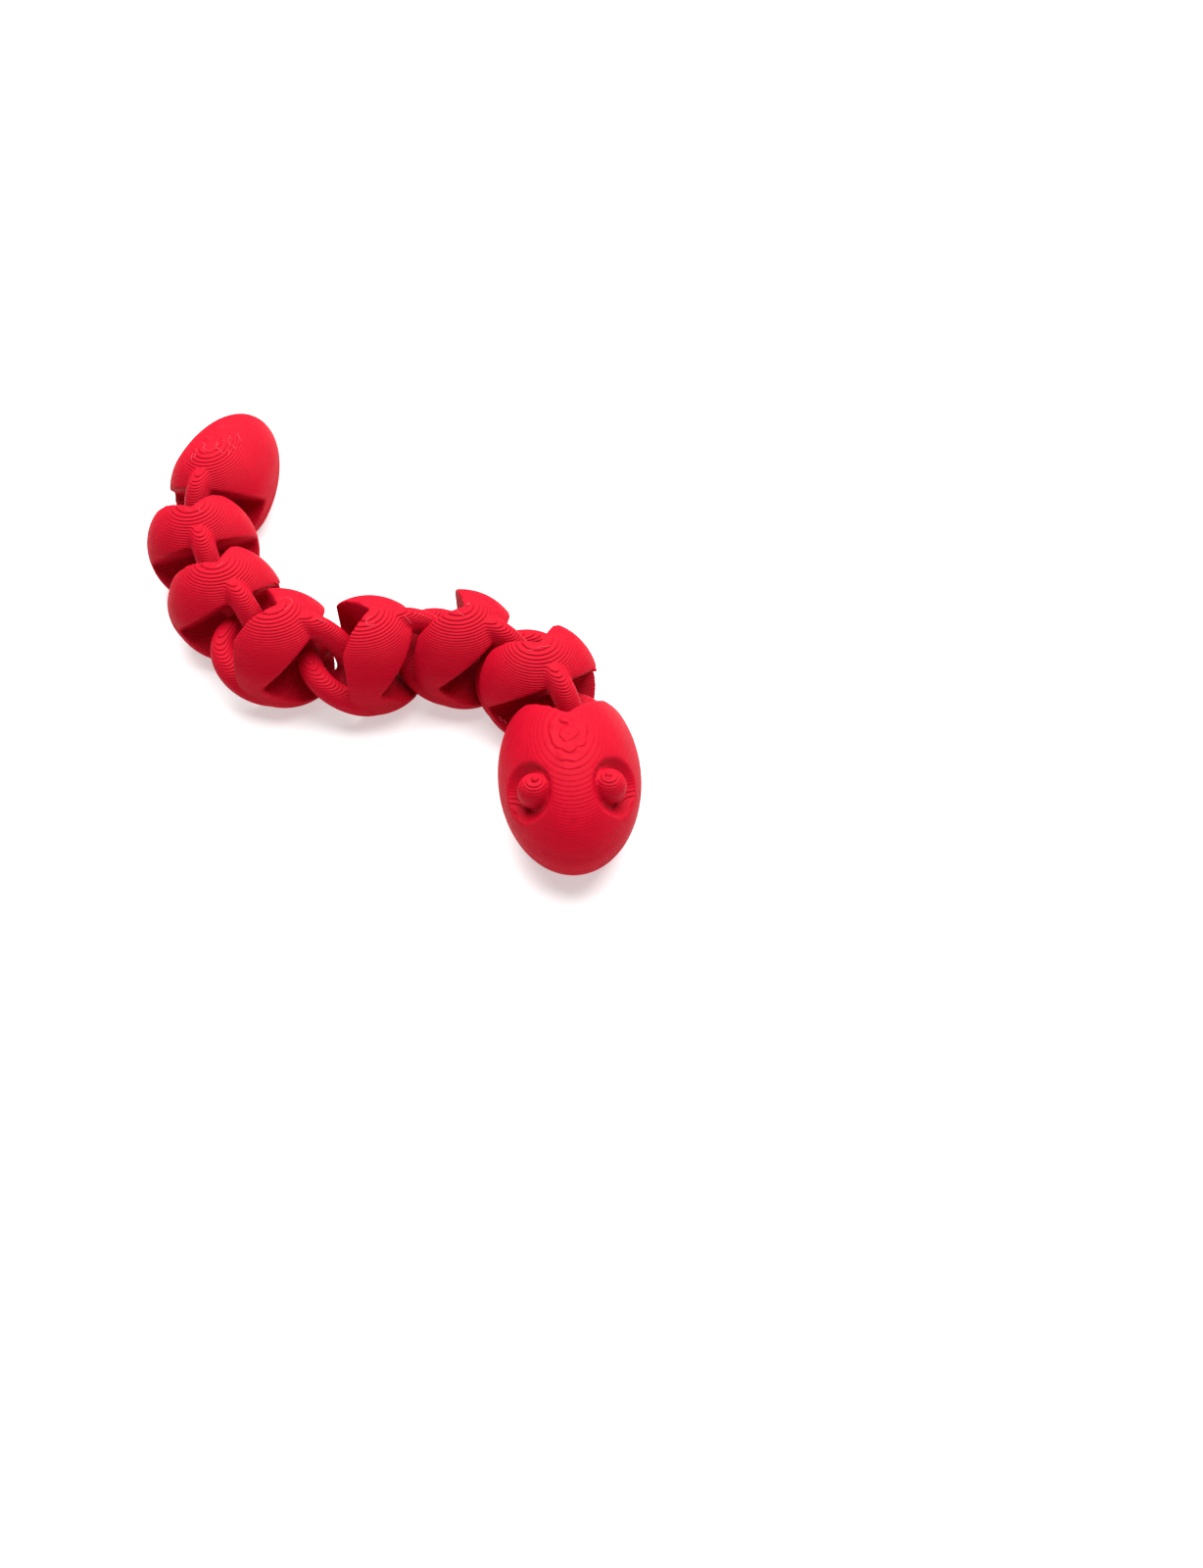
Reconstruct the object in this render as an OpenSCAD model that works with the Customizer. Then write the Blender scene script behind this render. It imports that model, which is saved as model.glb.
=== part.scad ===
// Articulated snake toy, printed in place as one chain of eight loose pieces.
// A head, six alike links and a tail lie flat on the ground in an S.
// Each piece is a ball with a flat bottom. Its snout side has a mouth, spanned by an upright ring.
// Its tail side has a V notch, spanned by a lying ring that threads the upright ring behind it.
// The head has no mouth and the tail has no notch.
// A piece is drawn along X with its snout side at +X, and is then laid in its place in the chain.
// Frame: origin on the ground under the middle of the head, snout towards -Y, +Z up.

/* [Links] */
// Width of a link's ball
link_width = 13.2; // [12:0.1:15]
// Full height of a link's ball, before its bottom is cut flat
link_height = 13.8; // [13:0.1:15]
// Length of a link's ball, along the chain
link_length = 13.6; // [13:0.1:16]
// Height of the middle of every ball over the ground
middle_height = 6; // [5:0.1:6.4]
// How far the ends of the cheeks stay inside the ball's tail end
cheek_inside = 3.9; // [3.7:0.1:4.4]

/* [Head] */
// Width of the head's ball
head_width = 14.8; // [13:0.1:17]
// Full height of the head's ball, before its bottom is cut flat
head_height = 14.4; // [13:0.1:16]
// Length of the head's ball
head_length = 23.2; // [20:0.1:26]
// How much farther inside the head's tail end its notch and lying ring sit than on a link
neck_inset = 1.6; // [0.6:0.1:2.4]
// How far the eyes lie ahead of the head's middle
eye_ahead = 5.6; // [4:0.1:6.2]
// Distance between the middles of the eyes
eye_spacing = 8.3; // [7.4:0.1:9]
// Diameter of the round eyeballs
eyeball_d = 3.5; // [3:0.1:4]
// How far an eyeball stands out of the head
eyeball_out = 0.9; // [0.6:0.1:1.3]
// Distance between the middles of the hollows around the eyes
socket_spacing = 9.2; // [8.4:0.1:9.8]
// Diameter of the ball-shaped hollow around an eyeball
socket_d = 8; // [6.4:0.1:8.6]
// Depth of the hollow in the head
socket_depth = 1.8; // [1.2:0.1:2.2]

/* [Tail] */
// Width of the tail's ball
tail_width = 12.4; // [11.5:0.1:14]
// Full height of the tail's ball, before its bottom is cut flat
tail_height = 13.6; // [13:0.1:15]
// Length of the tail's blunt half, on its snout side
tail_blunt = 7.4; // [6.6:0.1:9]
// Length of the tail's slim half
tail_slim = 14.2; // [10:0.1:18]

/* [Rings] */
// Thickness of the round bar of both rings
bar = 2.8; // [2.4:0.1:3.2]
// Radius of the upright ring, to the middle of its bar
strap_radius = 4.6; // [4.4:0.1:5.4]
// How far the middle of the upright ring's bar stands out of the ball's snout end
strap_out = 1.3; // [1:0.1:1.8]
// Radius of the lying ring, to the middle of its bar
loop_radius = 4.8; // [4.4:0.1:5.2]
// How far the middle of the lying ring's bar stands out of the ball's tail end
loop_out = -0.1; // [-0.6:0.1:0.4]
// Rise of the lying ring, from flat up towards the tail
loop_tilt = 32; // [26:1:38]
// Height of the lying ring's crown over the mouth's edge, to the middle of its bar
crown_rise = 0.6; // [0.3:0.1:0.9]
// Clearance between the bars of two threaded rings
ring_gap = 1.2; // [0.8:0.1:1.6]

/* [Notch and mouth] */
// Half the opening angle of the V notch
notch_angle = 48; // [46:1:54]
// Depth of the notch's edge, from the ball's tail end
notch_depth = 7.6; // [7.2:0.1:8.4]
// Half the opening angle of the mouth
mouth_angle = 43.5; // [42:0.5:48]
// Height of the mouth's edge under the middle of the ball
mouth_drop = 0.2; // [0:0.1:0.6]
// Clearance between the walls of the mouth and the lying ring in it
mouth_gap = 0.7; // [0.5:0.05:0.8]
// Diameter of the upright web that parts the notch's edge from the mouth's edge in a link
web_d = 1.8; // [1.4:0.1:2.2]

/* [Pose] */
// Turn of link 6 against the head, in degrees, left is positive
turn_6 = 24; // [-38:1:38]
// Turn of link 5 against link 6, in degrees, left is positive
turn_5 = 37; // [-38:1:38]
// Turn of link 4 against link 5, in degrees, left is positive
turn_4 = 37; // [-38:1:38]
// Turn of link 3 against link 4, in degrees, left is positive
turn_3 = -27; // [-38:1:38]
// Turn of link 2 against link 3, in degrees, left is positive
turn_2 = -37; // [-38:1:38]
// Turn of link 1 against link 2, in degrees, left is positive
turn_1 = -16; // [-38:1:38]
// Turn of the tail against link 1, in degrees, left is positive
turn_tail = -30; // [-38:1:38]
// How far link 6 is pulled away from the head, from the middle of its play
pull_6 = 0.5; // [-0.2:0.1:0.7]
// How far link 5 is pulled away from link 6, from the middle of its play
pull_5 = -0.2; // [-0.2:0.1:0.7]
// How far link 4 is pulled away from link 5, from the middle of its play
pull_4 = -0.2; // [-0.2:0.1:0.7]
// How far link 3 is pulled away from link 4, from the middle of its play
pull_3 = -0.2; // [-0.2:0.1:0.7]
// How far link 2 is pulled away from link 3, from the middle of its play
pull_2 = 0.2; // [-0.2:0.1:0.7]
// How far link 1 is pulled away from link 2, from the middle of its play
pull_1 = 0.7; // [-0.2:0.1:0.7]
// How far the tail is pulled away from link 1, from the middle of its play
pull_tail = 0.7; // [-0.2:0.1:0.7]
// How far link 6 is slid to the left across the lying ring of the head, from its middle
slide_6 = 0.8; // [-0.8:0.1:0.8]
// How far link 5 is slid to the left across the lying ring of link 6, from its middle
slide_5 = -0.3; // [-0.6:0.1:0.6]
// How far link 4 is slid to the left across the lying ring of link 5, from its middle
slide_4 = -0.3; // [-0.6:0.1:0.6]
// How far link 3 is slid to the left across the lying ring of link 4, from its middle
slide_3 = -0.3; // [-0.6:0.1:0.6]
// How far link 2 is slid to the left across the lying ring of link 3, from its middle
slide_2 = 0.6; // [-0.6:0.1:0.6]
// How far link 1 is slid to the left across the lying ring of link 2, from its middle
slide_1 = 0.3; // [-0.6:0.1:0.6]
// How far the tail is slid to the left across the lying ring of link 1, from its middle
slide_tail = 0; // [-0.6:0.1:0.6]

/* [Hidden] */
$fn = 96;
RED = [0.86, 0.07, 0.13];
// Larger than any piece, for cutters
ample = 60;
// Number of links, and place of the tail in the chain when the head counts as piece 0
link_count = 6;
last = link_count + 1;
turns = [turn_6, turn_5, turn_4, turn_3, turn_2, turn_1, turn_tail];
pulls = [pull_6, pull_5, pull_4, pull_3, pull_2, pull_1, pull_tail];
slides = [slide_6, slide_5, slide_4, slide_3, slide_2, slide_1, slide_tail];
// How far the upright ring behind a piece stays inside that piece's tail end, in the middle of its play
hinge_inside = bar + ring_gap - loop_out;
mouth_height = middle_height - mouth_drop;
// Part of a full turn that the upright ring makes, so that its ends are sunk in the ball
strap_arc = 210;
// Depth of the mouth's edge, from the ball's snout end, so that the lying ring clears its walls
mouth_depth = (bar / 2 + mouth_gap + crown_rise * cos(mouth_angle)) / sin(mouth_angle)
    + hinge_inside + loop_out - strap_out;

// Place of the tail end that piece i's notch and lying ring are measured from, and of its snout end
function tail_end(i) = i == 0 ? head_length / 2 - neck_inset : link_length / 2;
function snout_end(i) = i == last ? tail_blunt : link_length / 2;
// Heading of piece i's snout, in degrees from +X
function heading(i) = i == 0 ? -90 : heading(i - 1) + turns[i - 1];
function way(angle) = [cos(angle), sin(angle)];
// Where the piece behind piece i turns on it, at the middle of its upright ring's bar
function hinge(i) =
    spot(i) - (tail_end(i) - hinge_inside + pulls[i]) * way(heading(i)) + slides[i] * way(heading(i) + 90);
// Where the middle of piece i lies on the ground
function spot(i) = i == 0 ? [0, 0] : hinge(i - 1) - (snout_end(i) + strap_out) * way(heading(i));

// Height of the head's surface over its middle, at a place in plan
function head_rise(x, y) =
    head_height / 2 * sqrt(1 - pow(2 * x / head_length, 2) - pow(2 * y / head_width, 2));
// Outward direction, square to the head's surface, at a point of it
function head_normal(p) =
    let (n = [p.x / pow(head_length, 2), p.y / pow(head_width, 2), p.z / pow(head_height, 2)])
    n / norm(n);

// Half of an egg, on the side of +X or -X that side gives
module half_egg(length, width, height, side) {
    intersection() {
        scale([length, width / 2, height / 2]) rotate([0, 90, 0]) sphere(1);
        translate([side > 0 ? 0 : -ample, -ample / 2, -ample / 2]) cube(ample);
    }
}

// Everything over the ground
module over_ground() {
    translate([-ample / 2, -ample / 2, 0]) cube(ample);
}

module ball(length, width, height) {
    translate([0, 0, middle_height]) scale([length / 2, width / 2, height / 2]) rotate([0, 90, 0]) sphere(1);
}

// V-shaped cutter that opens towards +X from its edge at x
module wedge(x, angle) {
    spread = ample * tan(angle);
    translate([x, 0, 0]) linear_extrude(ample, center = true)
        polygon([[0, 0], [ample, spread], [ample, -spread]]);
}

// Notch in a piece whose tail end lies at -x
module notch(x) {
    mirror([1, 0, 0]) wedge(x - notch_depth, notch_angle);
    translate([-ample - x + cheek_inside, -ample / 2, -ample / 2]) cube(ample);
}

// Mouth in a piece whose snout end lies at x
module mouth(x) {
    translate([0, 0, mouth_height]) rotate([90, 0, 0]) wedge(x - mouth_depth, mouth_angle);
}

module ring(radius, arc = 360) {
    rotate([0, 0, -arc / 2]) rotate_extrude(angle = arc) translate([radius, 0]) circle(d = bar);
}

// Upright ring of a piece whose snout end lies at x
module strap(x) {
    translate([x + strap_out - strap_radius, 0, middle_height]) rotate([90, 0, 0])
        ring(strap_radius, strap_arc);
}

// Lying ring of a piece whose tail end lies at -x
module loop(x) {
    translate([-x - loop_out, 0, mouth_height + crown_rise]) rotate([0, loop_tilt, 0])
        translate([loop_radius, 0, 0]) ring(loop_radius);
}

// Upright web midway between the edges of a link's notch and mouth
module web() {
    translate([(notch_depth - mouth_depth) / 2, 0, mouth_height])
        cylinder(d = web_d, h = 2 * web_d, center = true);
}

module link_body() {
    end = link_length / 2;
    intersection() {
        union() {
            difference() {
                ball(link_length, link_width, link_height);
                notch(end);
                mouth(end);
            }
            strap(end);
            loop(end);
            web();
        }
        over_ground();
    }
}

// Laid in its place in the chain, counted back from the head
module laid(i) {
    color(RED) translate([spot(i).x, spot(i).y, 0]) rotate(heading(i)) children();
}

module link(n) {
    laid(last - n) link_body();
}

// One of a pair of balls in the head's surface, which are spacing apart and stand out of it by out,
// on the side of +Y or -Y
module eye_ball(side, spacing, d, out) {
    y = side * spacing / 2;
    p = [eye_ahead, y, head_rise(eye_ahead, y)];
    translate([0, 0, middle_height] + p + (out - d / 2) * head_normal(p)) sphere(d = d);
}

// Hollow around an eye, as a cutter that reaches into the head by its depth
module socket(side) {
    eye_ball(side, socket_spacing, socket_d, socket_d - socket_depth);
}

module head() {
    end = tail_end(0);
    laid(0) intersection() {
        union() {
            difference() {
                ball(head_length, head_width, head_height);
                notch(end);
                for (side = [-1, 1]) socket(side);
            }
            loop(end);
            for (side = [-1, 1]) eye_ball(side, eye_spacing, eyeball_d, eyeball_out);
        }
        over_ground();
    }
}

module tail() {
    laid(last) intersection() {
        union() {
            difference() {
                translate([0, 0, middle_height]) {
                    half_egg(tail_blunt, tail_width, tail_height, 1);
                    half_egg(tail_slim, tail_width, tail_height, -1);
                }
                mouth(tail_blunt);
            }
            strap(tail_blunt);
        }
        over_ground();
    }
}

head();
link(6);  // link_6
link(5);  // link_5
link(4);  // link_4
link(3);  // link_3
link(2);  // link_2
link(1);  // link_1
tail();
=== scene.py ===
"""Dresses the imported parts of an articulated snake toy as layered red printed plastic."""

import logging
import math
from collections.abc import Callable
from dataclasses import dataclass, field
from enum import Enum

import bpy
import numpy as np
from mathutils import Matrix, Vector


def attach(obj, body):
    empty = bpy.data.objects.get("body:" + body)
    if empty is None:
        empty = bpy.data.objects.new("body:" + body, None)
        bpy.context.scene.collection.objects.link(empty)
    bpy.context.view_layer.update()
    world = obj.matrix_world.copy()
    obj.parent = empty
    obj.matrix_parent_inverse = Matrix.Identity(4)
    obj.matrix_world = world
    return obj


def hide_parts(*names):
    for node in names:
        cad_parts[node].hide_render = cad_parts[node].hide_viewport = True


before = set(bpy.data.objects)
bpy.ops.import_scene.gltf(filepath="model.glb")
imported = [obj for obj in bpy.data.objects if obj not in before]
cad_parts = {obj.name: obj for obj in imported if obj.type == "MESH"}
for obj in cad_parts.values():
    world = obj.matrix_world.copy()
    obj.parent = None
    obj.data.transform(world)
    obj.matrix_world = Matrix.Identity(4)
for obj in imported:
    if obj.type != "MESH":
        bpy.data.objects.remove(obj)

log = logging.getLogger("snake_toy")
METRES = 0.001  # one millimetre
FINE = 1e-5  # millimetres that count as no distance


class Axis(Enum):
    """Axis that a cut is square to. The side that it points to stays."""

    X = (1.0, 0.0, 0.0)
    Z = (0.0, 0.0, 1.0)


class Bench:
    """Modelling moves on one piece at a time, in millimetres, with all else deselected."""

    ROUND = 128  # faces round an egg or a ring
    EGG_ROWS = 64  # rows of faces between an egg's poles
    BAR_ROUND = 48  # faces round a ring's bar
    SOFTENING = 0.5  # how far one round of smoothing moves a vertex towards its neighbours
    THREAD_ORDER = 3
    THREAD_ROUND = 2

    @staticmethod
    def clear() -> None:
        """Leaves edit mode and deselects everything."""
        if bpy.context.object is not None and bpy.context.object.mode != "OBJECT":
            bpy.ops.object.mode_set(mode="OBJECT")
        bpy.ops.object.select_all(action="DESELECT")

    @classmethod
    def pick(cls, *pieces: bpy.types.Object) -> None:
        """Selects the pieces alone, and makes the first one active.

        Args:
            pieces: what to select.
        """
        cls.clear()
        for piece in pieces:
            piece.select_set(True)
        bpy.context.view_layer.objects.active = pieces[0]

    @classmethod
    def settle(cls, piece: bpy.types.Object, place: Matrix) -> bpy.types.Object:
        """Puts a piece in its place, and keeps the place in its mesh.

        Args:
            piece: what to move.
            place: where it goes.

        Returns:
            The piece, with its object at the origin.
        """
        cls.pick(piece)
        piece.matrix_world = place
        bpy.ops.object.transform_apply(location=True, rotation=True, scale=True)
        return piece

    @classmethod
    def egg(
        cls, name: str, front: float, rear: float, width: float, height: float
    ) -> bpy.types.Object:
        """Models an egg about the origin, with its poles along X.

        Args:
            name: the object's name.
            front: reach towards +X.
            rear: reach towards -X.
            width: full size along Y.
            height: full size along Z.

        Returns:
            The egg.
        """
        cls.clear()
        bpy.ops.mesh.primitive_uv_sphere_add(
            segments=cls.ROUND, ring_count=cls.EGG_ROWS, radius=1)
        piece = bpy.context.object
        piece.name = name
        scale = Matrix.Diagonal((rear, width / 2, height / 2, 1))
        cls.settle(piece, scale @ Matrix.Rotation(math.pi / 2, 4, "Y"))
        cls.choose(piece, lambda place: place[:, 0] > FINE)
        bpy.ops.transform.resize(value=(front / rear, 1, 1), center_override=(0, 0, 0))
        cls.clear()
        return piece

    @classmethod
    def ring(cls, name: str, radius: float, bar: float) -> bpy.types.Object:
        """Models a ring that lies flat about the origin.

        Args:
            name: the object's name.
            radius: to the middle of the bar.
            bar: thickness of the bar.

        Returns:
            The ring.
        """
        cls.clear()
        bpy.ops.mesh.primitive_torus_add(
            major_segments=cls.ROUND, minor_segments=cls.BAR_ROUND,
            major_radius=radius, minor_radius=bar / 2)
        piece = bpy.context.object
        piece.name = name
        return piece

    @classmethod
    def wedge(cls, name: str, half_angle: float, reach: float) -> bpy.types.Object:
        """Models a V-shaped cutter, from an upright edge at the origin out towards +X.

        Args:
            name: the object's name.
            half_angle: half of its opening, in degrees.
            reach: how far it goes out.

        Returns:
            The cutter.
        """
        cls.clear()
        bpy.ops.mesh.primitive_cube_add(size=2)
        piece = bpy.context.object
        piece.name = name
        spread = reach * math.tan(math.radians(half_angle))
        size = Matrix.Diagonal((reach / 2, spread, reach, 1))
        cls.settle(piece, Matrix.Translation((reach / 2, 0, 0)) @ size)
        cls.choose(piece, lambda place: place[:, 0] < FINE)
        bpy.ops.transform.resize(value=(1, 0, 1), center_override=(0, 0, 0))
        bpy.ops.mesh.select_all(action="SELECT")
        bpy.ops.mesh.remove_doubles(threshold=FINE)
        bpy.ops.mesh.normals_make_consistent(inside=False)
        cls.clear()
        return piece

    @classmethod
    def choose(cls, piece: bpy.types.Object, test: Callable[[np.ndarray], np.ndarray]) -> None:
        """Opens a piece in edit mode with the vertices selected that pass a test.

        Args:
            piece: what to edit.
            test: takes all places as rows of x, y, z and gives one truth value for each.
        """
        cls.pick(piece)
        mesh = piece.data
        place = np.empty(len(mesh.vertices) * 3)
        mesh.vertices.foreach_get("co", place)
        mesh.vertices.foreach_set("select", test(place.reshape(-1, 3)))
        mesh.edges.foreach_set("select", np.zeros(len(mesh.edges), bool))
        mesh.polygons.foreach_set("select", np.zeros(len(mesh.polygons), bool))
        bpy.ops.object.mode_set(mode="EDIT")
        bpy.ops.mesh.select_mode(type="VERT")

    @classmethod
    def slice_off(cls, piece: bpy.types.Object, at: float, axis: Axis) -> None:
        """Cuts a piece flat across an axis, drops what lies before the cut and closes the rest.

        Args:
            piece: what to cut.
            at: place of the cut on the axis.
            axis: what the cut is square to.
        """
        cls.pick(piece)
        bpy.ops.object.mode_set(mode="EDIT")
        bpy.ops.mesh.select_all(action="SELECT")
        bpy.ops.mesh.bisect(
            plane_co=Vector(axis.value) * at, plane_no=axis.value,
            use_fill=True, clear_inner=True, threshold=FINE)
        cls.clear()

    @classmethod
    def carve(cls, piece: bpy.types.Object, *cutters: bpy.types.Object) -> None:
        """Takes cutters away from a piece and deletes them.

        Args:
            piece: what to cut.
            cutters: what to take away.
        """
        for cutter in cutters:
            cls.pick(piece)
            step = piece.modifiers.new("carve", "BOOLEAN")
            step.operation, step.solver, step.object = "DIFFERENCE", "EXACT", cutter
            bpy.ops.object.modifier_apply(modifier=step.name)
            bpy.data.objects.remove(cutter)

    @classmethod
    def weld(cls, piece: bpy.types.Object, parts: list, grain: float, rounds: int) -> None:
        """Joins parts into one closed skin with slightly rounded edges.

        Args:
            piece: what the parts become one with.
            parts: the other parts.
            grain: size of the new skin's faces.
            rounds: how often its edges are smoothed.
        """
        cls.pick(piece, *parts)
        if parts:
            bpy.ops.object.join()
        step = piece.modifiers.new("skin", "REMESH")
        step.mode, step.voxel_size = "VOXEL", grain
        bpy.ops.object.modifier_apply(modifier=step.name)
        step = piece.modifiers.new("round", "SMOOTH")
        step.factor, step.iterations = cls.SOFTENING, rounds
        bpy.ops.object.modifier_apply(modifier=step.name)

    @classmethod
    def join(cls, piece: bpy.types.Object, parts: list) -> None:
        """Makes loose parts one object with a piece.

        Args:
            piece: what they become part of.
            parts: the parts.
        """
        if parts:
            cls.pick(piece, *parts)
            bpy.ops.object.join()

    @classmethod
    def thread(cls, name: str, path: list, thickness: float) -> bpy.types.Object:
        """Models a fine round thread along a path.

        Args:
            name: the object's name.
            path: points that it passes.
            thickness: its diameter.

        Returns:
            The thread.
        """
        cls.clear()
        bpy.ops.curve.primitive_nurbs_path_add()
        piece = bpy.context.object
        piece.name = name
        curve = piece.data
        curve.splines.clear()
        line = curve.splines.new("NURBS")
        line.points.add(len(path) - 1)
        for point, place in zip(line.points, path):
            point.co = (*place, 1)
        line.use_endpoint_u, line.order_u = True, cls.THREAD_ORDER
        curve.bevel_depth, curve.bevel_resolution = thickness / 2, cls.THREAD_ROUND
        curve.use_fill_caps = True
        bpy.ops.object.convert(target="MESH")
        return bpy.context.object

    @classmethod
    def copy(cls, piece: bpy.types.Object, name: str) -> bpy.types.Object:
        """Copies a piece with a mesh of its own.

        Args:
            piece: what to copy.
            name: the copy's name.

        Returns:
            The copy.
        """
        cls.pick(piece)
        bpy.ops.object.duplicate(linked=False)
        twin = bpy.context.object
        twin.name = name
        return twin


@dataclass(frozen=True)
class Layers:
    """The laid plastic strands that a piece is printed from, one flat layer on the other.

    Each layer keeps the outline that the smooth form has half way up the layer. So level tops
    become terraces, and walls become rows of beads with a fine groove between them.
    """

    height: float = 0.2
    start: float = -0.05  # height at which the lowest layer starts
    wall: float = 0.06  # half a layer's steep part, as a share of the layer
    lap: float = 0.08  # share of the layer that the flat part still rises by
    groove: float = 0.03  # how deep the outline goes in between two layers
    crease_angle: float = 50
    relief: float = 0.8  # how fully the layers show on level tops
    side_relief: float = 0.65  # and on steep sides
    sides: tuple = (0.7, 0.92)  # upright share of the normal on a steep side, and on a top
    bold: tuple = ()  # x, y and radius of spots where the layers show as on a top
    bold_fade: float = 0.5  # width of a bold spot's rim
    waver: float = 0.035  # unevenness of the tops before the layers are laid
    smear: float = 0.05  # and after they are laid
    level: float = 0.955  # upright share of the normal above which a top counts as level
    waves: int = 16
    wave_lengths: tuple = (0.8, 2.8)
    seed: int = 5

    def uneven(self, place: np.ndarray, out: np.ndarray) -> np.ndarray:
        """Works out how uneven the nearly level tops are, as the last small layers of a print are.

        Args:
            place: the vertices' places, as rows.
            out: their normals, as rows.

        Returns:
            A rise for each vertex, about 1 at most and none off the level tops.
        """
        chance = np.random.default_rng(self.seed)
        swell = np.zeros(len(place))
        for _ in range(self.waves):
            angle, phase = chance.uniform(0, 2 * math.pi, 2)
            pace = 2 * math.pi / chance.uniform(*self.wave_lengths)
            along = place[:, 0] * math.cos(angle) + place[:, 1] * math.sin(angle)
            swell += np.sin(along * pace + phase)
        share = np.clip((out[:, 2] - self.level) / (1 - self.level), 0, 1)
        return share * swell / math.sqrt(self.waves / 2)

    @staticmethod
    def read(piece: bpy.types.Object) -> tuple:
        """Reads a piece's vertices.

        Args:
            piece: what to read.

        Returns:
            Their places and their normals, as rows.
        """
        mesh = piece.data
        place = np.empty(len(mesh.vertices) * 3)
        out = np.empty_like(place)
        mesh.vertices.foreach_get("co", place)
        mesh.vertices.foreach_get("normal", out)
        return place.reshape(-1, 3), out.reshape(-1, 3)

    @staticmethod
    def write(piece: bpy.types.Object, place: np.ndarray) -> None:
        """Moves a piece's vertices.

        Args:
            piece: what to change.
            place: their new places, as rows.
        """
        piece.data.vertices.foreach_set("co", place.ravel())
        piece.data.update()

    def lay(self, piece: bpy.types.Object, top: float) -> None:
        """Turns a smooth skin into printed layers.

        Args:
            piece: the smooth skin, on the ground.
            top: height that nothing may pass.
        """
        place, out = self.read(piece)
        place[:, 2] += self.waver * self.uneven(place, out)
        self.write(piece, place)
        self.score(piece, top)
        place, out = self.read(piece)
        smear = self.smear * self.uneven(place[:, [1, 0]], out)
        row = np.round((place[:, 2] - self.start) / self.height - 0.5)
        middle = (row + 0.5) * self.height + self.start
        part = (place[:, 2] - middle) / self.height
        share = np.abs(part)
        rim = 0.5 - self.lap
        spread = np.where(share < self.wall, share / self.wall * rim,
                          rim + (share - self.wall) / (0.5 - self.wall) * self.lap)
        depth = self.groove * np.clip(share / self.wall, 0, 1)
        place[:, :2] -= out[:, :2] * depth[:, None]
        laid = middle + np.sign(part) * spread * self.height
        steep, flat = self.sides
        tread = np.clip((np.abs(out[:, 2]) - steep) / (flat - steep), 0, 1)
        for x, y, radius in self.bold:
            near = radius - np.hypot(place[:, 0] - x, place[:, 1] - y)
            tread = np.maximum(tread, np.clip(near / self.bold_fade, 0, 1))
        relief = self.side_relief + (self.relief - self.side_relief) * tread
        place[:, 2] = np.clip(place[:, 2] + relief * (laid - place[:, 2]) + smear, 0, top)
        self.write(piece, place)
        Bench.pick(piece)
        bpy.ops.object.shade_smooth_by_angle(angle=math.radians(self.crease_angle))

    def score(self, piece: bpy.types.Object, top: float) -> None:
        """Cuts edges round a piece at the heights where its layers' walls start, bulge and end.

        Args:
            piece: the smooth skin.
            top: height of its highest point.
        """
        Bench.pick(piece)
        bpy.ops.object.mode_set(mode="EDIT")
        for row in range(int((top - self.start) / self.height) + 1):
            middle = self.start + (row + 0.5) * self.height
            for part in (-self.wall, 0, self.wall):
                level = middle + part * self.height
                if 0 < level < top:
                    bpy.ops.mesh.select_all(action="SELECT")
                    bpy.ops.mesh.bisect(
                        plane_co=(0, 0, level), plane_no=Axis.Z.value, threshold=FINE)
        Bench.clear()


@dataclass(frozen=True)
class Hair:
    """A fine thread of plastic that the nozzle left behind."""

    path: tuple  # x and y of its points, seen from above
    thickness: float = 0.13
    arch: float = 0.0  # how far its middle rises
    above: float = 20.0  # height that it is dropped from

    def build(self, piece: bpy.types.Object) -> bpy.types.Object:
        """Lays the hair on a piece.

        Args:
            piece: what it lies on, in its own millimetres.

        Returns:
            The hair.
        """
        places, last = [], len(self.path) - 1
        for row, (x, y) in enumerate(self.path):
            found, place, _, _ = piece.ray_cast(Vector((x, y, self.above)), Vector((0, 0, -1)))
            rise = self.arch * math.sin(math.pi * row / last)
            if found:
                places.append(place + Vector((0, 0, rise)))
        return Bench.thread("hair", places, self.thickness)


@dataclass(frozen=True)
class Bead:
    """A small blob of plastic where the nozzle started or stopped."""

    place: tuple
    size: tuple
    steps: tuple = (16, 10)  # faces round it, and rows of them

    def build(self, piece: bpy.types.Object) -> bpy.types.Object:
        """Models the blob.

        Args:
            piece: what it is on.

        Returns:
            The blob.
        """
        segments, rows = self.steps
        Bench.clear()
        bpy.ops.mesh.primitive_uv_sphere_add(segments=segments, ring_count=rows, radius=0.5)
        place = Matrix.Translation(self.place) @ Matrix.Diagonal((*self.size, 1))
        bead = Bench.settle(bpy.context.object, place)
        bead.name = f"{piece.name}_bead"
        Bench.pick(bead)
        bpy.ops.object.shade_smooth()
        return bead


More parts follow.
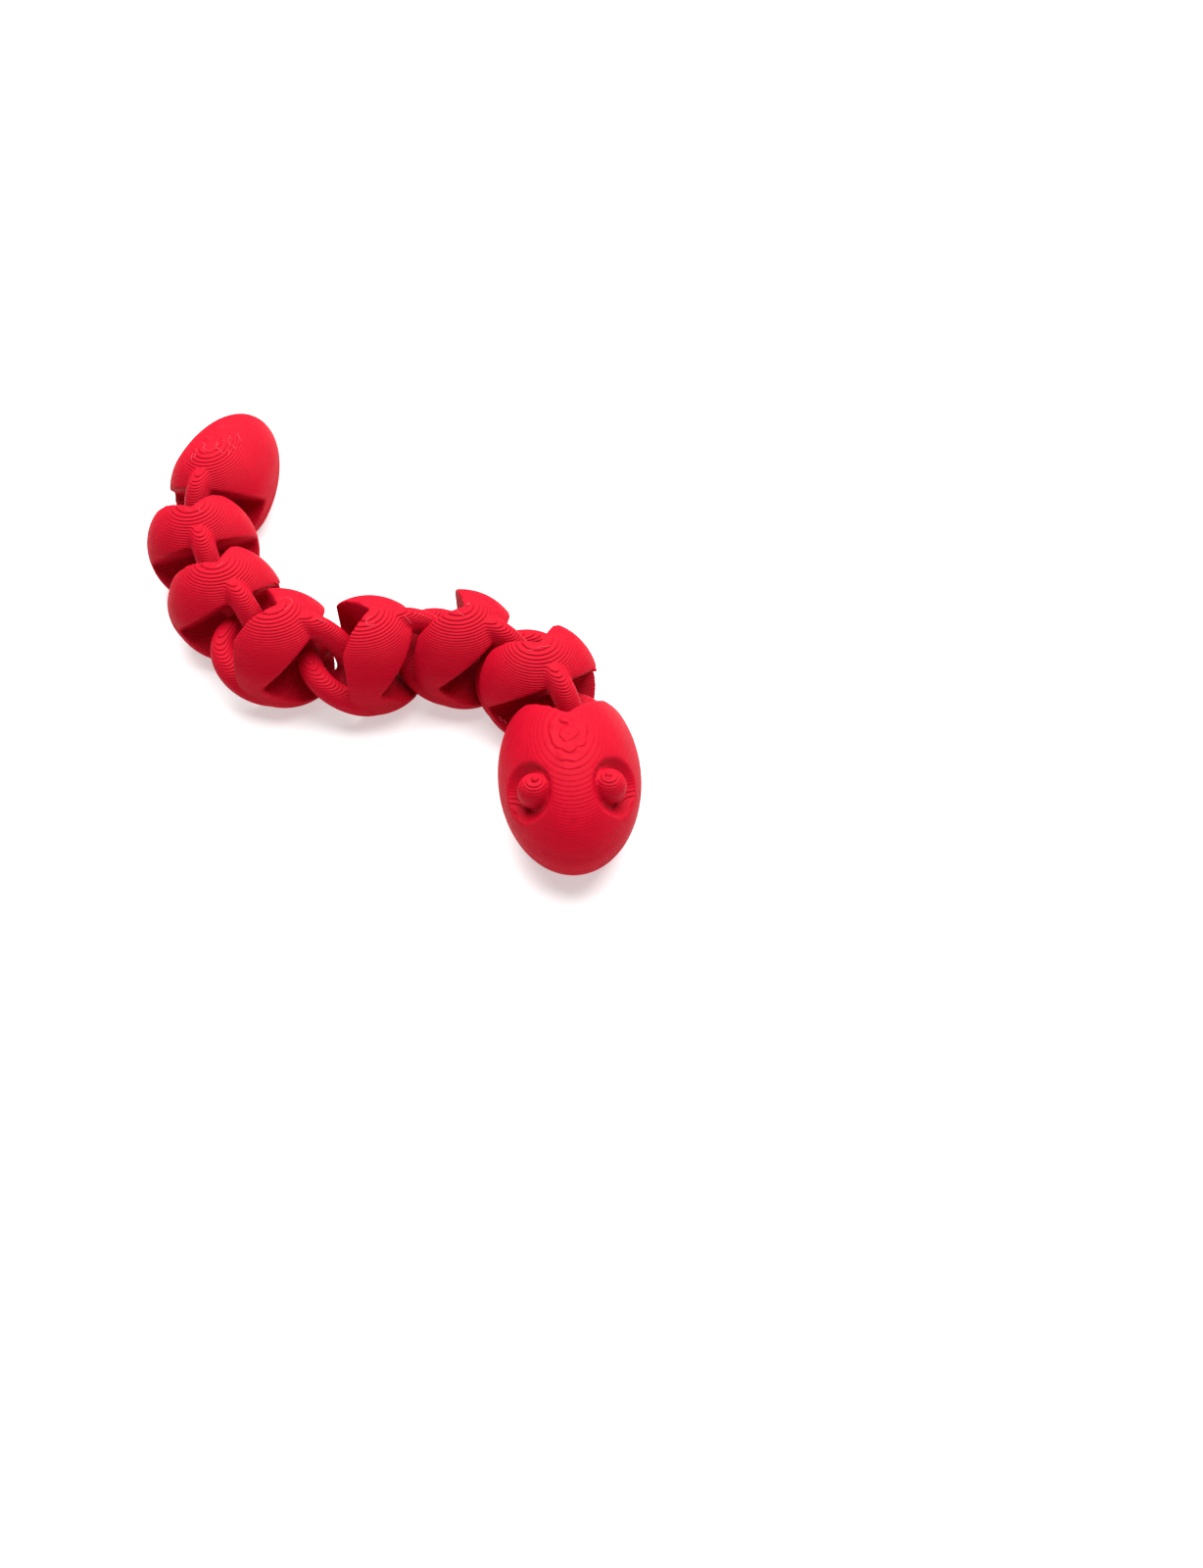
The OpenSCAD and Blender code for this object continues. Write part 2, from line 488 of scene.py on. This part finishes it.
# What printing left on each node, in the piece's own millimetres, with its snout side at +X.
BEADS = {
    "head": (Bead((5.25, -3.55, 11.9), (0.8, 0.8, 0.5)), Bead((5.25, 3.6, 11.9), (0.7, 0.7, 0.45))),
    "link_6": (Bead((3.4, 5.13, 8.63), (0.6, 0.5, 0.4)),),
    "link_2": (Bead((3.4, 5.13, 8.63), (0.5, 0.4, 0.4)),),
}
HAIRS = {
    "link_6": (
        Hair(((1.4, -5.8), (1.5, -5.5), (1.9, -5.6), (1.8, -5.2), (2.2, -5.2)), 0.16, 0.1, 5.5),
        Hair(((1.1, -1.6), (1.5, -1.0), (1.3, -0.3), (1.7, 0.2), (1.6, 0.8)), 0.14),
    ),
    "link_5": (
        Hair(((6.4, 0.5), (7.0, 0.45), (7.9, 0.4)), 0.12, 0.15),
        Hair(((1.0, 0.2), (1.2, 0.4), (1.1, 0.6)), 0.3),
        Hair(((0.4, -0.9), (0.9, -1.3), (1.5, -1.2)), 0.14),
    ),
    "link_4": (
        Hair(((5.5, -0.25), (6.4, -0.4), (7.2, -0.55)), 0.13, 0.1),
        Hair(((4.3, -0.6), (4.6, -0.9), (5.0, -1.25)), 0.14, 0.1),
        Hair(((0.9, -1.3), (0.4, -1.5), (0.2, -2.0), (0.6, -2.4), (1.1, -2.1)), 0.15),
    ),
    "link_3": (
        Hair(((0.8, 0.9), (1.1, 1.5), (1.8, 1.5), (2.2, 0.9), (2.1, 0.1), (1.8, -0.5)), 0.12),
        Hair(((5.3, 0.0), (5.9, -0.2), (6.4, 0.1)), 0.15, 0.1),
    ),
    "link_2": (Hair(((1.2, 0.4), (1.6, 0.1), (1.5, -0.4)), 0.13),),
    "link_1": (Hair(((1.3, 0.8), (1.8, 0.6), (2.1, 1.0)), 0.13),),
    "tail": (
        Hair(((2.3, -1.6), (1.9, -1.8), (1.5, -1.5), (1.8, -1.2), (2.2, -1.3)), 0.16, 0.05),
        Hair(((0.6, -1.7), (0.9, -1.2), (1.3, -1.3)), 0.14),
        Hair(((-0.4, -0.9), (0.2, -0.4), (0.5, -0.7), (1.0, -0.1), (1.1, 0.4)), 0.15),
        Hair(((-0.8, 0.6), (-0.3, 1.1), (0.1, 0.8), (0.5, 1.4), (0.9, 2.0)), 0.16, 0.05),
        Hair(((-2.9, 1.5), (-2.3, 1.9), (-1.9, 1.5), (-1.4, 2.1)), 0.15),
        Hair(((-3.9, 2.2), (-3.3, 2.5), (-2.8, 3.0)), 0.15),
        Hair(((-0.7, 3.0), (-1.2, 2.6), (-1.0, 2.2), (-1.6, 1.2)), 0.14),
        Hair(((0.0, 2.4), (0.5, 2.7), (0.9, 2.5)), 0.13),
    ),
}


@dataclass(frozen=True)
class Rings:
    """The upright ring on a piece's snout side and the lying ring on its tail side."""

    bar: float = 2.8
    strap_radius: float = 4.6
    strap_out: float = 1.3  # from the snout end to the middle of the upright bar
    strap_end: float = -0.26  # where the upright ring is cut off, in radii from its centre
    loop_radius: float = 4.8
    loop_out: float = -0.1  # from the tail end to the middle of the lying bar
    loop_tilt: float = 32
    crown_rise: float = 0.6  # from the mouths' edges up to the lying bar
    ring_gap: float = 1.2

    @property
    def hinge_inside(self) -> float:
        """How far the upright ring behind a piece stays inside that piece's tail end."""
        return self.bar + self.ring_gap - self.loop_out

    def strap(self, end: float, middle: float) -> bpy.types.Object:
        """Models the upright ring of a piece.

        Args:
            end: place of the ball's snout end.
            middle: height of the ball's middle.

        Returns:
            The part of the ring that is not sunk in the ball.
        """
        ring = Bench.ring("strap", self.strap_radius, self.bar)
        centre = end + self.strap_out - self.strap_radius
        upright = Matrix.Rotation(math.pi / 2, 4, "X")
        Bench.settle(ring, Matrix.Translation((centre, 0, middle)) @ upright)
        Bench.slice_off(ring, centre + self.strap_end * self.strap_radius, Axis.X)
        return ring

    def loop(self, end: float, mouth_height: float) -> bpy.types.Object:
        """Models the lying ring of a piece.

        Args:
            end: distance of the ball's tail end from its middle.
            mouth_height: height of the mouths' edges.

        Returns:
            The ring.
        """
        ring = Bench.ring("loop", self.loop_radius, self.bar)
        crown = Matrix.Translation((-end - self.loop_out, 0, mouth_height + self.crown_rise))
        tilt = Matrix.Rotation(math.radians(self.loop_tilt), 4, "Y")
        return Bench.settle(ring, crown @ tilt @ Matrix.Translation((self.loop_radius, 0, 0)))


@dataclass(frozen=True)
class Cuts:
    """The V notch on the tail side and the mouth on the snout side."""

    notch_angle: float = 48  # half of its opening
    notch_depth: float = 7.6
    cheek_inside: float = 3.9  # how much of the tail end is cut off flat
    mouth_angle: float = 43.5  # half of its opening
    mouth_drop: float = 0.2
    mouth_gap: float = 0.7  # room between the mouth and the ring in it
    web: float = 1.8  # thickness of what parts notch and mouth
    web_round: int = 48
    reach: float = 30  # size of the cutters

    def mouth_depth(self, rings: Rings) -> float:
        """Depth of the mouth's edge, so that the lying ring in it clears its walls.

        Args:
            rings: the rings' sizes.

        Returns:
            Distance from the ball's snout end.
        """
        angle = math.radians(self.mouth_angle)
        room = rings.bar / 2 + self.mouth_gap + rings.crown_rise * math.cos(angle)
        return room / math.sin(angle) + rings.hinge_inside + rings.loop_out - rings.strap_out

    def notch(self, piece: bpy.types.Object, end: float) -> None:
        """Cuts the notch and trims the cheeks' ends.

        Args:
            piece: the ball.
            end: distance of its tail end from its middle.
        """
        cutter = Bench.wedge("notch", self.notch_angle, self.reach)
        place = Matrix.Translation((self.notch_depth - end, 0, 0))
        Bench.settle(cutter, place @ Matrix.Rotation(math.pi, 4, "Z"))
        Bench.carve(piece, cutter)
        Bench.slice_off(piece, self.cheek_inside - end, Axis.X)

    def mouth(self, piece: bpy.types.Object, end: float, middle: float, rings: Rings) -> None:
        """Cuts the mouth.

        Args:
            piece: the ball.
            end: place of its snout end.
            middle: height of its middle.
            rings: the rings' sizes.
        """
        cutter = Bench.wedge("mouth", self.mouth_angle, self.reach)
        place = Matrix.Translation((end - self.mouth_depth(rings), 0, middle - self.mouth_drop))
        Bench.settle(cutter, place @ Matrix.Rotation(math.pi / 2, 4, "X"))
        Bench.carve(piece, cutter)

    def upright_web(self, middle: float, rings: Rings) -> bpy.types.Object:
        """Models the web that parts the notch's edge from the mouth's edge in a link.

        Args:
            middle: height of the link's middle.
            rings: the rings' sizes.

        Returns:
            The web.
        """
        Bench.clear()
        bpy.ops.mesh.primitive_cylinder_add(
            vertices=self.web_round, radius=self.web / 2, depth=2 * self.web)
        place = ((self.notch_depth - self.mouth_depth(rings)) / 2, 0, middle - self.mouth_drop)
        return Bench.settle(bpy.context.object, Matrix.Translation(place))


@dataclass(frozen=True)
class Print:
    """How every piece is printed: its skin's grain, its middle's height and its layers."""

    middle: float = 6.0
    grain: float = 0.22
    rounds: int = 2  # of smoothing
    layers: Layers = Layers()
    rings: Rings = Rings()
    cuts: Cuts = Cuts()

    def finish(self, piece: bpy.types.Object, parts: list, top: float) -> bpy.types.Object:
        """Makes one layered skin of a piece's parts, cut level with the ground.

        Args:
            piece: the ball.
            parts: its rings and eyes.
            top: height that nothing may pass.

        Returns:
            The piece.
        """
        Bench.weld(piece, parts, self.grain, self.rounds)
        Bench.slice_off(piece, 0, Axis.Z)
        self.layers.lay(piece, top)
        log.info("%s: %d faces", piece.name, len(piece.data.polygons))
        return piece


@dataclass(frozen=True)
class Link:
    """One of the alike links between the head and the tail."""

    way: Print = Print()
    length: float = 13.6
    width: float = 13.2
    height: float = 13.8

    @property
    def end(self) -> float:
        """Distance of either end from the middle."""
        return self.length / 2

    def build(self) -> bpy.types.Object:
        """Models the link along X, with its snout side at +X.

        Returns:
            The link, in millimetres.
        """
        way = self.way
        ball = Bench.egg("link", self.end, self.end, self.width, self.height)
        Bench.settle(ball, Matrix.Translation((0, 0, way.middle)))
        way.cuts.notch(ball, self.end)
        way.cuts.mouth(ball, self.end, way.middle, way.rings)
        strap = way.rings.strap(self.end, way.middle)
        loop = way.rings.loop(self.end, way.middle - way.cuts.mouth_drop)
        web = way.cuts.upright_web(way.middle, way.rings)
        return way.finish(ball, [strap, loop, web], way.middle + self.height / 2)


BY_THE_EYES = ((5.3, 4.15, 1.7), (5.9, 6.3, 1.7), (7.3, 5.3, 1.2))  # bold spots on one side


@dataclass(frozen=True)
class Head:
    """The head, with two round eyes in round hollows and a notch at its neck."""

    way: Print = Print(layers=Layers(
        start=-0.15, groove=0.015, side_relief=0.2, sides=(0.945, 0.98), smear=0.06, seed=8,
        bold=tuple((x, side * y, radius) for x, y, radius in BY_THE_EYES for side in (1, -1))))
    length: float = 23.2
    width: float = 14.8
    height: float = 14.4
    neck_inset: float = 1.6
    eye_ahead: float = 5.6
    eye_spacing: float = 8.3
    eyeball: float = 3.5
    eyeball_out: float = 0.9
    socket_spacing: float = 9.2
    socket: float = 8.0
    socket_depth: float = 1.8

    @property
    def neck(self) -> float:
        """Distance of the neck's end from the middle."""
        return self.length / 2 - self.neck_inset

    def skin_ball(
        self, side: int, spacing: float, diameter: float, out: float
    ) -> bpy.types.Object:
        """Models one of a pair of balls in the head's surface.

        Args:
            side: +1 or -1, along Y.
            spacing: distance between the middles of the pair.
            diameter: the ball's.
            out: how far it stands out of the head.

        Returns:
            The ball.
        """
        x, y = self.eye_ahead, side * spacing / 2
        inside = 1 - (2 * x / self.length) ** 2 - (2 * y / self.width) ** 2
        rise = self.height / 2 * math.sqrt(inside)
        slope = Vector((x / self.length ** 2, y / self.width ** 2, rise / self.height ** 2))
        sunk = slope.normalized() * (out - diameter / 2)
        place = Vector((x, y, rise + self.way.middle)) + sunk
        ball = Bench.egg("eye", diameter / 2, diameter / 2, diameter, diameter)
        return Bench.settle(ball, Matrix.Translation(place))

    def build(self) -> bpy.types.Object:
        """Models the head along X, with its snout at +X.

        Returns:
            The head, in millimetres.
        """
        way = self.way
        half = self.length / 2
        ball = Bench.egg("head_shell", half, half, self.width, self.height)
        Bench.settle(ball, Matrix.Translation((0, 0, way.middle)))
        way.cuts.notch(ball, self.neck)
        for side in (-1, 1):
            out = self.socket - self.socket_depth
            Bench.carve(ball, self.skin_ball(side, self.socket_spacing, self.socket, out))
        parts = [self.skin_ball(side, self.eye_spacing, self.eyeball, self.eyeball_out)
                 for side in (-1, 1)]
        parts.append(way.rings.loop(self.neck, way.middle - way.cuts.mouth_drop))
        return way.finish(ball, parts, way.middle + self.height / 2)


@dataclass(frozen=True)
class Tail:
    """The tail: blunt on its snout side, slim behind."""

    way: Print = Print()
    width: float = 12.4
    height: float = 13.6
    blunt: float = 7.4  # reach of its snout side
    slim: float = 14.2  # reach of its rear

    def build(self) -> bpy.types.Object:
        """Models the tail along X, with its snout side at +X.

        Returns:
            The tail, in millimetres.
        """
        way = self.way
        ball = Bench.egg("tail_shell", self.blunt, self.slim, self.width, self.height)
        Bench.settle(ball, Matrix.Translation((0, 0, way.middle)))
        way.cuts.mouth(ball, self.blunt, way.middle, way.rings)
        strap = way.rings.strap(self.blunt, way.middle)
        return way.finish(ball, [strap], way.middle + self.height / 2)


@dataclass
class Chain:
    """The whole snake: its pieces in a row behind the head, each turned against the one ahead."""

    head: Head = field(default_factory=Head)
    link: Link = field(default_factory=Link)
    tail: Tail = field(default_factory=Tail)
    heading: float = -90
    turns: tuple = (24, 37, 37, -27, -37, -16, -30)  # at each joint, behind the head first
    pulls: tuple = (0.5, -0.2, -0.2, -0.2, 0.2, 0.7, 0.7)  # backwards, along the piece ahead
    slides: tuple = (0.8, -0.3, -0.3, -0.3, 0.6, 0.3, 0)  # sideways

    def places(self) -> list:
        """Works out where each piece lies.

        Returns:
            One matrix for each piece, head first, from its own millimetres to the frame's metres.
        """
        rings = self.link.way.rings
        spot, heading = Vector((0, 0, 0)), math.radians(self.heading)
        places = [self.place(spot, heading)]
        ends = [self.head.neck] + [self.link.end] * (len(self.turns) - 1)
        fronts = [self.link.end] * (len(self.turns) - 1) + [self.tail.blunt]
        joints = zip(ends, fronts, self.turns, self.pulls, self.slides)
        for end, front, turn, pull, slide in joints:
            spot = spot - (end - rings.hinge_inside + pull) * self.ahead(heading)
            spot = spot + slide * self.ahead(heading + math.pi / 2)
            heading += math.radians(turn)
            spot = spot - (front + rings.strap_out) * self.ahead(heading)
            places.append(self.place(spot, heading))
        return places

    @staticmethod
    def ahead(heading: float) -> Vector:
        """Unit vector on the ground, in a heading's direction."""
        return Vector((math.cos(heading), math.sin(heading), 0))

    @staticmethod
    def place(spot: Vector, heading: float) -> Matrix:
        """Matrix that takes a piece from its own millimetres to metres at a spot and heading."""
        turned = Matrix.Translation(spot * METRES) @ Matrix.Rotation(heading, 4, "Z")
        return turned @ Matrix.Scale(METRES, 4)

    @staticmethod
    def mark(
        name: str, shell: bpy.types.Object, finish: bpy.types.Material, strand: bpy.types.Material
    ) -> None:
        """Adds the hairs and blobs that printing left on a piece.

        Args:
            name: the piece's node.
            shell: the piece, in its own millimetres.
            finish: the plastic.
            strand: the plastic of the hairs, whose paler pink is partly their own tone and partly
                painted highlight.
        """
        parts = [bead.build(shell) for bead in BEADS.get(name, ())]
        for part in parts:
            part.data.materials.append(finish)
        hairs = [hair.build(shell) for hair in HAIRS.get(name, ())]
        for hair in hairs:
            hair.data.materials.clear()
            hair.data.materials.append(strand)
        Bench.join(shell, parts + hairs)

    def build(self, finish: bpy.types.Material, strand: bpy.types.Material) -> None:
        """Models all pieces, lays them in the chain and lets them ride on their CAD bodies.

        Args:
            finish: the plastic.
            strand: the plastic of the hairs, whose paler pink is partly their own tone and partly
                painted highlight.
        """
        names = ["head"] + [f"link_{n}" for n in range(len(self.turns) - 1, 0, -1)] + ["tail"]
        link = self.link.build()
        shells = [self.head.build()]
        shells += [Bench.copy(link, f"{name}_shell") for name in names[1:-1]]
        shells.append(self.tail.build())
        bpy.data.objects.remove(link)
        for name, shell, place in zip(names, shells, self.places()):
            shell.data.materials.clear()
            shell.data.materials.append(finish)
            self.mark(name, shell, finish, strand)
            Bench.settle(shell, place)
            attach(shell, name)
            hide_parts(name)
            spot = [round(value / METRES, 2) for value in place.translation]
            log.info("%s lies at %s", name, spot)


class Value:
    """A number in a shader, with Python's operators as Math nodes."""

    def __init__(self, board: "Board", socket: bpy.types.NodeSocket) -> None:
        """Wraps an output socket.

        Args:
            board: where new nodes go.
            socket: the output.
        """
        self.board, self.socket = board, socket

    def _maths(self, operation: str, *terms: "Value | float") -> "Value":
        """Adds a Math node.

        Args:
            operation: what it does.
            terms: what it works on.

        Returns:
            Its result.
        """
        inputs = dict(enumerate(terms))
        node = self.board.add("ShaderNodeMath", {"operation": operation}, inputs)
        return Value(self.board, node.outputs[0])

    def __add__(self, other: "Value | float") -> "Value":
        """Sum."""
        return self._maths("ADD", self, other)

    def __sub__(self, other: "Value | float") -> "Value":
        """Difference."""
        return self._maths("SUBTRACT", self, other)

    def __rsub__(self, other: "Value | float") -> "Value":
        """Difference, from a number."""
        return self._maths("SUBTRACT", other, self)

    def __mul__(self, other: "Value | float") -> "Value":
        """Product."""
        return self._maths("MULTIPLY", self, other)

    __radd__, __rmul__ = __add__, __mul__


class Board:
    """The node tree of one material, or of the sky."""

    def __init__(self, owner: bpy.types.ID) -> None:
        """Starts on the nodes that a new owner comes with.

        Args:
            owner: the material or world.
        """
        owner.use_nodes = True
        self.owner, self.tree = owner, owner.node_tree

    @property
    def shader(self) -> bpy.types.Node:
        """The material's Principled shader."""
        return self.tree.nodes["Principled BSDF"]

    def add(self, kind: str, settings: dict, inputs: dict) -> bpy.types.Node:
        """Adds a node.

        Args:
            kind: the node's type.
            settings: its properties, set before its inputs.
            inputs: values or links of its sockets, by name or place.

        Returns:
            The node.
        """
        node = self.tree.nodes.new(kind)
        for name, setting in settings.items():
            setattr(node, name, setting)
        for socket, given in inputs.items():
            self.feed(node.inputs[socket], given)
        return node

    def feed(
        self, socket: bpy.types.NodeSocket, given: "Value | bpy.types.NodeSocket | float | tuple"
    ) -> None:
        """Sets a socket to a value, or links it.

        Args:
            socket: the input.
            given: a number, colour, Value or output socket.
        """
        if isinstance(given, Value):
            given = given.socket
        if isinstance(given, bpy.types.NodeSocket):
            self.tree.links.new(given, socket)
        else:
            socket.default_value = given

    def noise(self, vector: bpy.types.NodeSocket, scale: float, detail: float) -> Value:
        """Adds fractal noise around 0.5.

        Args:
            vector: where it is read.
            scale: spots to the unit.
            detail: number of finer octaves.

        Returns:
            The noise.
        """
        inputs = {"Vector": vector, "Scale": scale, "Detail": detail}
        node = self.add("ShaderNodeTexNoise", {}, inputs)
        return Value(self, node.outputs["Fac"])

    def stretched(self, vector: bpy.types.NodeSocket, scale: tuple) -> bpy.types.NodeSocket:
        """Scales a vector along each axis.

        Args:
            vector: the input.
            scale: a factor for each axis.

        Returns:
            The scaled vector.
        """
        settings = {"operation": "MULTIPLY"}
        return self.add("ShaderNodeVectorMath", settings, {0: vector, 1: scale}).outputs[0]

    def mix(self, share: Value, first: tuple, second: tuple) -> bpy.types.NodeSocket:
        """Mixes two colours.

        Args:
            share: 0 for the first, 1 for the second.
            first: a colour.
            second: a colour.

        Returns:
            The mixed colour.
        """
        # The colour sockets come after those for numbers and vectors.
        node = self.add("ShaderNodeMix", {"data_type": "RGBA"}, {0: share, 6: first, 7: second})
        return node.outputs[2]


@dataclass(frozen=True)
class RedPlastic:
    """Matte red plastic strands."""

    name: str = "red_printed_plastic"
    deep: tuple = (0.39, 0.002, 0.013, 1)
    fresh: tuple = (0.485, 0.003, 0.018, 1)
    layer: float = 0.0002
    strand_scale: float = 350  # spots to the metre along a layer
    strand_pace: float = 0.9  # spots to the layer
    cloud_scale: float = 600  # spots to the metre
    grain_scale: float = 9000  # spots to the metre
    cloud_share: float = 0.7  # clouds' part in the mix of deep and fresh
    strand_share: float = 0.5  # strands' part in it
    fresh_start: float = 0.1  # what both have to pass before fresh shows
    roughness: float = 0.5
    roughness_spread: float = 0.16
    specular: float = 0.045
    grain_relief: float = 0.6
    strand_relief: float = 1.2
    bump_strength: float = 0.35
    bump_depth: float = 0.00002

    def material(self) -> bpy.types.Material:
        """Builds the finish.

        Returns:
            The material.
        """
        board = Board(bpy.data.materials.new(self.name))
        place = board.add("ShaderNodeTexCoord", {}, {}).outputs["Object"]
        pace = (self.strand_scale, self.strand_scale, 1 / self.layer * self.strand_pace)
        strands = board.noise(board.stretched(place, pace), scale=1, detail=2)
        clouds = board.noise(place, self.cloud_scale, detail=3)
        grain = board.noise(place, self.grain_scale, detail=2)
        share = clouds * self.cloud_share + strands * self.strand_share - self.fresh_start
        board.feed(board.shader.inputs["Base Color"], board.mix(share, self.deep, self.fresh))
        board.feed(board.shader.inputs["Roughness"],
                   self.roughness + (strands + grain - 1) * self.roughness_spread)
        bump = board.add("ShaderNodeBump", {}, {
            "Strength": self.bump_strength, "Distance": self.bump_depth,
            "Height": grain * self.grain_relief + strands * self.strand_relief})
        board.feed(board.shader.inputs["Normal"], bump.outputs[0])
        board.shader.inputs["Specular IOR Level"].default_value = self.specular
        return board.owner


@dataclass(frozen=True)
class PaleFloor:
    """Plain white ground that glows faintly, as a light table does, which keeps shadows pale."""

    name: str = "pale_floor"
    colour: tuple = (0.62, 0.62, 0.622, 1)
    shade: tuple = (0.60, 0.60, 0.602, 1)
    spots: float = 6  # to the metre
    roughness: float = 0.7
    specular: float = 0.25
    glow: float = 0.5
    glow_colour: tuple = (1, 1, 1, 1)

    def material(self) -> bpy.types.Material:
        """Builds the finish.

        Returns:
            The material.
        """
        board = Board(bpy.data.materials.new(self.name))
        place = board.add("ShaderNodeTexCoord", {}, {}).outputs["Object"]
        colour = board.mix(board.noise(place, self.spots, detail=1), self.shade, self.colour)
        board.feed(board.shader.inputs["Base Color"], colour)
        board.shader.inputs["Roughness"].default_value = self.roughness
        board.shader.inputs["Emission Color"].default_value = self.glow_colour
        board.shader.inputs["Emission Strength"].default_value = self.glow
        board.shader.inputs["Specular IOR Level"].default_value = self.specular
        return board.owner


@dataclass(frozen=True)
class Lamp:
    """A soft square light."""

    name: str
    spot: tuple
    aim: tuple
    size: float
    power: float
    colour: tuple = (1, 1, 1)

    def hang(self) -> None:
        """Adds the light to the scene."""
        data = bpy.data.lights.new(self.name, "AREA")
        data.shape, data.size = "SQUARE", self.size
        data.energy, data.color = self.power, self.colour
        lamp = bpy.data.objects.new(self.name, data)
        bpy.context.collection.objects.link(lamp)
        lamp.location = self.spot
        beam = Vector(self.aim) - Vector(self.spot)
        lamp.rotation_euler = beam.to_track_quat("-Z", "Y").to_euler()


@dataclass(frozen=True)
class Studio:
    """Floor, soft light and camera."""

    eye: tuple = (-0.003237, -0.082226, 0.1010)
    look: tuple = (0.05163, 0.64731, -0.7604)
    focal: float = 1240.56 / 1600  # focal length, in long sides of the frame
    sensor: float = 36
    clip: tuple = (0.005, 20)
    floor_side: float = 6
    sky: tuple = (1, 1, 1, 1)
    sky_fade: tuple = (0.15, 0.5)  # heights on the unit sphere between which it dims
    horizon: float = 0.6
    overhead: float = 0.05
    lamps: tuple = (Lamp("key_light", (0.06, 0.22, 0.58), (-0.02, 0.03, 0), 0.8, 13.5),)

    def build(self) -> None:
        """Sets up everything around the object."""
        Bench.clear()
        bpy.ops.mesh.primitive_plane_add(size=self.floor_side)
        floor = bpy.context.object
        floor.name = "floor"
        floor.data.materials.append(PaleFloor().material())
        bpy.context.scene.world = self.pale_sky()
        for lamp in self.lamps:
            lamp.hang()
        self.aim_camera()

    def pale_sky(self) -> bpy.types.World:
        """Builds the sky: pale as a backdrop near the horizon, and dim where the lamps hang.

        Returns:
            The world.
        """
        board = Board(bpy.data.worlds.new("soft_sky"))
        way = board.add("ShaderNodeTexCoord", {}, {}).outputs["Generated"]
        height = Value(board, board.add("ShaderNodeSeparateXYZ", {}, {0: way}).outputs[2])
        low, high = self.sky_fade
        fade = board.add("ShaderNodeMapRange", {"interpolation_type": "SMOOTHSTEP"},
                         {0: height, 1: low, 2: high, 3: self.horizon, 4: self.overhead})
        sky = board.tree.nodes["Background"]
        board.feed(sky.inputs["Color"], self.sky)
        board.feed(sky.inputs["Strength"], Value(board, fade.outputs[0]))
        return board.owner

    def aim_camera(self) -> None:
        """Puts the camera where the photograph was taken from."""
        data = bpy.data.cameras.new("camera")
        data.sensor_fit, data.sensor_width = "AUTO", self.sensor
        data.lens = self.focal * self.sensor
        data.clip_start, data.clip_end = self.clip
        camera = bpy.data.objects.new("camera", data)
        bpy.context.collection.objects.link(camera)
        camera.location = self.eye
        camera.rotation_euler = Vector(self.look).to_track_quat("-Z", "Y").to_euler()
        bpy.context.scene.camera = camera


def main() -> None:
    """Builds the studio and the snake."""
    logging.basicConfig(level=logging.INFO, format="%(name)s: %(message)s")
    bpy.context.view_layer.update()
    Studio().build()
    # The hairs' paler pink is partly the strands' own tone and partly painted highlight along them.
    highlit_strand = RedPlastic(
        "strand_with_painted_highlight", deep=(0.56, 0.025, 0.045, 1), fresh=(0.66, 0.05, 0.08, 1))
    Chain().build(RedPlastic().material(), highlit_strand.material())
    bpy.context.scene.view_settings.view_transform = "Standard"


if __name__ == "__main__":
    main()
